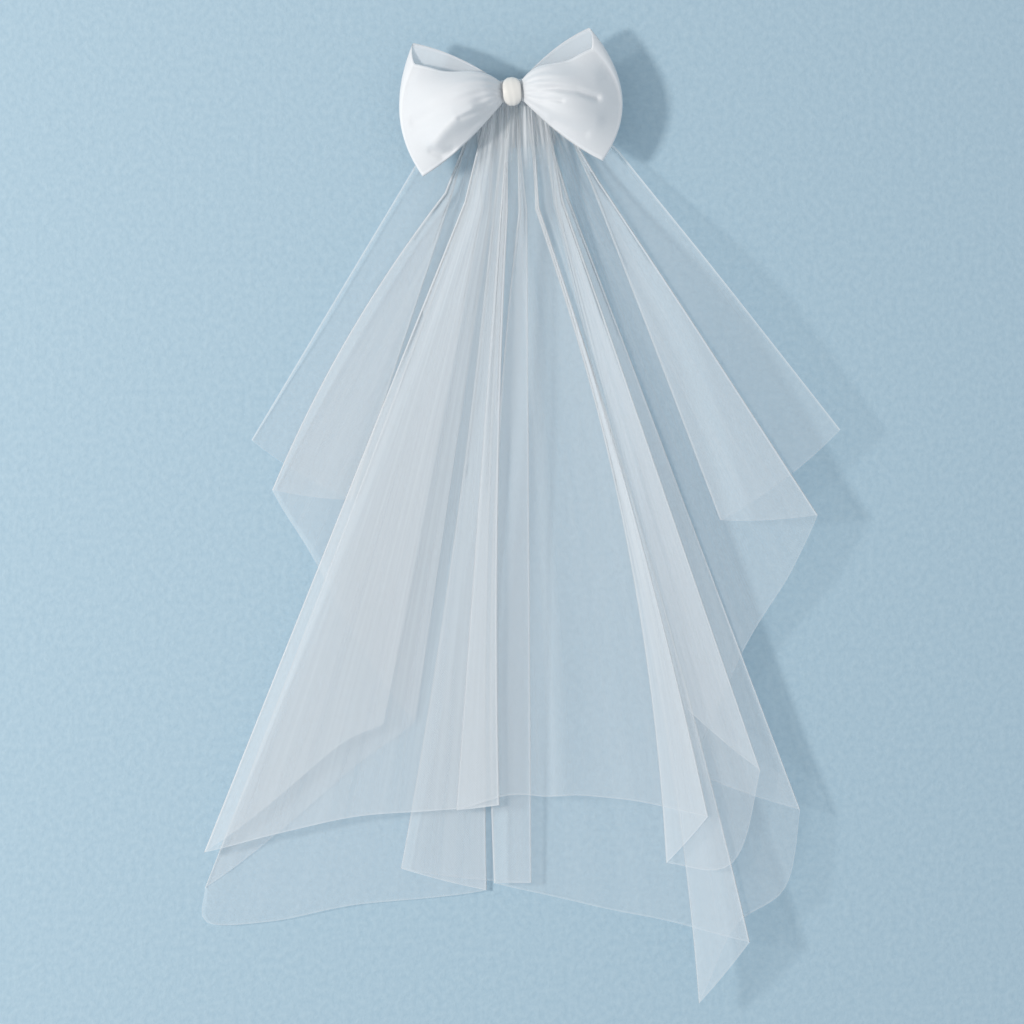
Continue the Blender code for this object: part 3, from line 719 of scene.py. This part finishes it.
def sheet_grid(table, length, first_layer, seed):
    """The points of a tier's grid, with each point's flat place, its bright line (denser net and a painted
    highlight at folds, edges and hems), how gathered it is and how full the net looks.
    """
    table = with_knees(table)
    layers = line_layers(table, first_layer)
    sides = cloth_sides(table, length)
    shines = [SHINE[first_layer > 0].get(line.name, PLAIN_SHINE) for line in table]
    fulls = [FULL[first_layer > 0].get(line.name, 1.0) for line in table]
    columns = sheet_columns(table, length)
    flat = flat_places(table, length, columns)
    rows = []
    for way in sheet_ways(length):
        row = []
        for column, u in zip(columns, flat):
            share = cloth_share(column, table, length, way)
            line = column_line(table, column, share)
            layer = column_layer(layers, column, share)
            place = line_place(line, length, way)
            radius = place.length
            angle = degrees(atan2(place.x, -place.y))
            z = ground(radius, angle) + layer * layer_step(radius)
            z += line.lift * ROLL_HEIGHT * smooth(radius, NEAR_RADIUS, length)
            z += cloth_wave(u, radius, seed)
            if way < 0 and first_layer > 0:
                z = blend(z, heading_height(layers, layer), -way)
            if column.turn is not None:
                out = FOLD_RADIUS * sqrt(max(0.0, 1 - column.turn**2))
                away = polar(1, angle).cross(Vector((0, 0, -1))).normalized() * sides[column.index]
                place = place + away * out * smooth(radius, FOLD_ROUND_FROM, FOLD_ROUND_TO)
            place.z = max(z, WALL / 2)
            shine = shines[column.index if column.from_b is None else column.index + 1]
            bright_line = max(column.bright_line * shine, hem_bright_line(way, length) if way > 1.5 else 0.0)
            gathered = 1 - smooth(radius, GATHERED_TO, GATHERED_UNTIL)
            full = column_full(table, fulls, column, share)
            row.append((place + SEAM, (u, radius), bright_line, gathered, full))
        rows.append(row)
    return rows


def grid_object(name, rows, material, body="root"):
    """A sheet through rows of points, with its flat places as a UV map and its three net values."""
    shape = bmesh.new()
    cloth = shape.loops.layers.uv.new("cloth")
    bright_line = shape.verts.layers.float.new("bright_line")
    gathered = shape.verts.layers.float.new("gathered")
    full = shape.verts.layers.float.new("full")
    verts = []
    for row in rows:
        line = []
        for point, flat, bright_line_value, bunched, share in row:
            vert = shape.verts.new(point)
            vert[bright_line] = bright_line_value
            vert[gathered] = bunched
            vert[full] = share
            line.append(vert)
        verts.append(line)
    for r in range(len(rows) - 1):
        for c in range(len(rows[0]) - 1):
            corners = ((r, c), (r + 1, c), (r + 1, c + 1), (r, c + 1))
            face = shape.faces.new([verts[i][j] for i, j in corners])
            face.smooth = True
            for loop, (i, j) in zip(face.loops, corners):
                loop[cloth].uv = rows[i][j][1]
    mesh = bpy.data.meshes.new(name)
    shape.to_mesh(mesh)
    shape.free()
    mesh.materials.append(material)
    piece = bpy.data.objects.new(name, mesh)
    bpy.context.scene.collection.objects.link(piece)
    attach(piece, body)
    return piece


# Bow


class Ridge(NamedTuple):
    """A soft fold across a loop's front, along a run of places in millimetres from the knot's middle."""

    run: tuple
    width: float
    height: float  # below 0 it is a valley


LEFT_RIDGES = (
    Ridge(((-36, -15), (-50, -22), (-62, -31), (-71, -40)), 6.5, 4.6),
    Ridge(((-74, -46), (-66, -50), (-56, -47)), 3.2, -3.0),
    Ridge(((-20, -14), (-34, -17), (-47, -21)), 2.2, -2.0),
    Ridge(((-14, -16), (-36, -36), (-60, -57)), 3.6, 1.4),
    Ridge(((-30, -5), (-55, -8), (-84, -20)), 8.0, -2.6),
    Ridge(((-26, 8), (-52, 12), (-82, 14)), 11.0, 1.4),
)
RIGHT_RIDGES = (
    Ridge(((16, -2), (38, -2), (56, -6), (73, -13)), 3.0, -3.6),
    Ridge(((11, -4), (24, -10), (42, -14)), 2.0, -2.0),
    Ridge(((34, -30), (48, -38), (60, -43)), 3.8, -1.6),
    Ridge(((14, 10), (28, 17), (44, 22)), 3.0, 1.2),
    Ridge(((20, 4), (45, 7), (72, 6)), 8.0, 1.6),
    Ridge(((20, -14), (44, -24), (70, -32)), 7.0, 1.8),
)


def ridge_height(ridges, x, y):
    """The height that the soft folds add at a place, in metres."""
    total = 0.0
    point = Vector((x * 1000, y * 1000))
    for ridge in ridges:
        away = []
        for a, b in zip(ridge.run, ridge.run[1:]):
            a = Vector(a)
            run = Vector(b) - a
            share = min(max((point - a).dot(run) / run.length_squared, 0.0), 1.0)
            away.append((point - a - run * share).length)
        total += ridge.height * exp(-((min(away) / ridge.width) ** 2))
    return total / 1000


def loop_edges(along):
    """The lower and the upper edge of the ribbon, at a share of the way from the knot to the loop's end."""
    arch = EDGE_ARCH * 4 * along * (1 - along)
    lower = -blend(PINCH_HALF_WIDTH, LOOP_BOTTOM, along) - arch
    upper = blend(PINCH_HALF_WIDTH, LOOP_TOP, along) + arch
    return lower, upper


def loop_point(length, arch, out, across, front, ridges, side):
    """A point of a loop. out is -1 in the knot's middle, 0 at the knot's edge and 1 at the loop's end.
    front is 1 on its front layer, 0 on its back layer and between them at its end."""
    along = max(out, 0.0)
    lower, upper = loop_edges(along)
    folded = TOP_FOLD_DROP * front * smooth(along, TOP_FOLD_FROM, TOP_FOLD_TO)
    y = blend(lower, upper - folded, across)
    bow_of_edge = 1 - (2 * across - 1) ** 2
    knot_edge = KNOT_WIDTH / 2 + KNOT_CLEARANCE
    x = blend(knot_edge, length + arch * bow_of_edge, along)
    if out < 0:
        x = blend(knot_edge, LOOP_GAP, -out)
    half = blend(PINCH_GAP, LOOP_END_THICKNESS, along) / 2
    lens = PINCH_GAP * bow_of_edge * (1 - smooth(along, 0, PINCH_FADE))
    full = LOOP_FULLNESS * sin(pi * min(along, 1.0) ** FULLNESS_LEAN) * (1 - EDGE_THINNING * (2 * across - 1) ** 2)
    up = half + lens + full
    if front > 0.5:
        up += ridge_height(ridges, x * side, y) * smooth(along, *RIDGES_FROM) * (1 - smooth(along, *RIDGES_TO))
        pleats = sin(across * pi * PLEATS) * PLEAT_HEIGHT
        up += pleats * smooth(along, *PLEATS_FROM) * (1 - smooth(along, *PLEATS_TO))
    down = -half - lens - full * BACK_FULLNESS
    return Vector((x * side, y, blend(down, up, front) - LOOP_DROOP * along))


def loop_rows(length, arch, ridges, side):
    """Rows round the loop: out along the front, over the end and back along the back."""
    places = [(-1.0, 1.0)] + [(step / FRONT_STEPS, 1.0) for step in range(FRONT_STEPS + 1)]
    for step in range(1, END_STEPS):
        places.append((1 + END_ROUNDING * sin(pi * step / END_STEPS), (1 + cos(pi * step / END_STEPS)) / 2))
    places += [(1 - step / BACK_STEPS, 0.0) for step in range(BACK_STEPS + 1)] + [(-1.0, 0.0)]
    rows = []
    run = 0.0
    width = LOOP_TOP + LOOP_BOTTOM
    turn = Matrix.Translation(bow_centre()) @ Matrix.Rotation(CLIP_TURN, 4, "Z")
    before = None
    for out, front in places:
        row = []
        middle = loop_point(length, arch, out, 0.5, front, ridges, side)
        run += (middle - before).length if before else 0.0
        before = middle
        for step in range(ACROSS_STEPS + 1):
            across = step / ACROSS_STEPS
            point = turn @ loop_point(length, arch, out, across, front, ridges, side)
            from_edge = min(step, ACROSS_STEPS - step)
            edge = RIBBON_EDGE[from_edge] if from_edge < len(RIBBON_EDGE) else 0.0
            if 0 < front < 1:
                edge = max(edge, RIBBON_END)
            row.append((point, (across * width, run), edge, 1.0 - front, 1.0))
        rows.append(row)
    return rows


def bow_centre():
    """The middle of the knot."""
    layers = most_layers(LOWER_TIER) + 1 + most_layers(UPPER_TIER)
    top_of_veil = ground(0, 0) + layers * STEP_AT_GATHER + WALL / 2
    return SEAM + Vector((0, -KNOT_DROP, top_of_veil + KNOT_SEAT + KNOT_THICKNESS / 2))


def add_loop(name, side, length, arch, ridges, material, node):
    rows = loop_rows(length, arch, ridges, side)
    loop = grid_object(name, rows, material)
    loop_wall = loop.modifiers.new("Wall", "SOLIDIFY")
    loop_wall.thickness = RIBBON_WALL
    loop_wall.offset = 0
    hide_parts(node)
    return loop


def add_knot(material):
    """The satin wrap: a soft barrel with the wrap's folds round it."""
    shape = bmesh.new()
    rings = []
    for step in range(KNOT_STEPS + 1):
        share = 2 * step / KNOT_STEPS - 1
        ring = []
        for corner in range(KNOT_SIDES):
            angle = 2 * pi * corner / KNOT_SIDES
            barrel = 1 - KNOT_BARREL * abs(share) ** KNOT_BARREL_POWER
            crease = KNOT_CREASE * sin(share * 9 + 1.2 * sin(angle * 2)) * (1 - share**4)
            radius = KNOT_HEIGHT / 2 * barrel + crease
            y = radius * cos(angle)
            z = radius * sin(angle) * KNOT_THICKNESS / KNOT_HEIGHT
            x = share * KNOT_WIDTH / 2 * (1 - KNOT_NARROWING * cos(angle) ** KNOT_NARROWING_POWER)
            ring.append(shape.verts.new((x, y, z)))
        rings.append(ring)
    for a, b in zip(rings, rings[1:]):
        for corner in range(KNOT_SIDES):
            other = (corner + 1) % KNOT_SIDES
            face = shape.faces.new((a[corner], b[corner], b[other], a[other]))
            face.smooth = True
    bmesh.ops.recalc_face_normals(shape, faces=shape.faces)
    mesh = bpy.data.meshes.new("satin_knot")
    shape.to_mesh(mesh)
    shape.free()
    mesh.materials.append(material)
    knot = bpy.data.objects.new("satin_knot", mesh)
    knot.matrix_world = Matrix.Translation(bow_centre()) @ Matrix.Rotation(CLIP_TURN, 4, "Z")
    bpy.context.scene.collection.objects.link(knot)
    wall = knot.modifiers.new("Wall", "SOLIDIFY")
    wall.thickness = KNOT_WALL
    wall.offset = -1
    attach(knot, "root")
    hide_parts("bow_knot")
    return knot


# Studio

def add_camera():
    """The camera straight above, with the part where the photograph has it."""
    camera = bpy.data.objects.new("camera", bpy.data.cameras.new("camera"))
    camera.data.lens = LENS
    camera.data.sensor_width = SENSOR
    camera.location = (SEAM.x, SEAM.y - GATHER_DOWN, VIEW_WIDTH / 2 / (SENSOR / 2 / LENS))
    camera.data.clip_end = FAR_CLIP
    bpy.context.scene.collection.objects.link(camera)
    bpy.context.scene.camera = camera


def add_light(name, place, size, energy, colour):
    lamp = bpy.data.lights.new(name, "AREA")
    lamp.size = size
    lamp.energy = energy
    lamp.color = colour
    light = bpy.data.objects.new(name, lamp)
    light.location = place
    light.rotation_euler = (Vector((0, 0, 0)) - Vector(place)).to_track_quat("-Z", "Y").to_euler()
    bpy.context.scene.collection.objects.link(light)
    return light


def add_studio():
    mesh = bpy.data.meshes.new("floor")
    corners = [(x * FLOOR_HALF, y * FLOOR_HALF, 0) for x, y in ((-1, -1), (1, -1), (1, 1), (-1, 1))]
    mesh.from_pydata(corners, [], [(0, 1, 2, 3)])
    mesh.materials.append(floor_material())
    floor = bpy.data.objects.new("floor", mesh)
    floor.location.z = -FLOOR_DROP
    bpy.context.scene.collection.objects.link(floor)
    add_light("key", KEY_PLACE, KEY_SIZE, KEY_POWER, KEY_COLOUR)
    world = bpy.data.worlds.new("studio")
    bpy.context.scene.world = world
    world.use_nodes = True
    back = world.node_tree.nodes["Background"]
    back.inputs["Color"].default_value = SKY_COLOUR
    back.inputs["Strength"].default_value = SKY_STRENGTH


def main():
    lower_tulle = tulle_material("lower_tulle", LOWER_ALPHA)
    upper_tulle = tulle_material("upper_tulle", UPPER_ALPHA)
    lower = grid_object("lower_tier", sheet_grid(LOWER_TIER, LOWER_LENGTH, 0, LOWER_SEED), lower_tulle)
    upper_first = most_layers(LOWER_TIER) + 1
    upper = grid_object("upper_tier", sheet_grid(UPPER_TIER, UPPER_LENGTH, upper_first, UPPER_SEED), upper_tulle)
    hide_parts("veil_lower_tier")
    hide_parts("veil_upper_tier")
    organza = organza_material()
    left = add_loop("left_loop", -1, LEFT_LOOP_LENGTH, LEFT_LOOP_ARCH, LEFT_RIDGES, organza, "bow_loop_left")
    right = add_loop("right_loop", 1, RIGHT_LOOP_LENGTH, RIGHT_LOOP_ARCH, RIGHT_RIDGES, organza, "bow_loop_right")
    add_knot(satin_material())
    comb = bpy.data.objects["comb"]
    comb.material_slots[0].material = plastic_material()
    add_camera()
    add_studio()
    scene = bpy.context.scene
    scene.view_settings.view_transform = "Standard"
    scene.cycles.transparent_max_bounces = TRANSPARENT_BOUNCES


main()
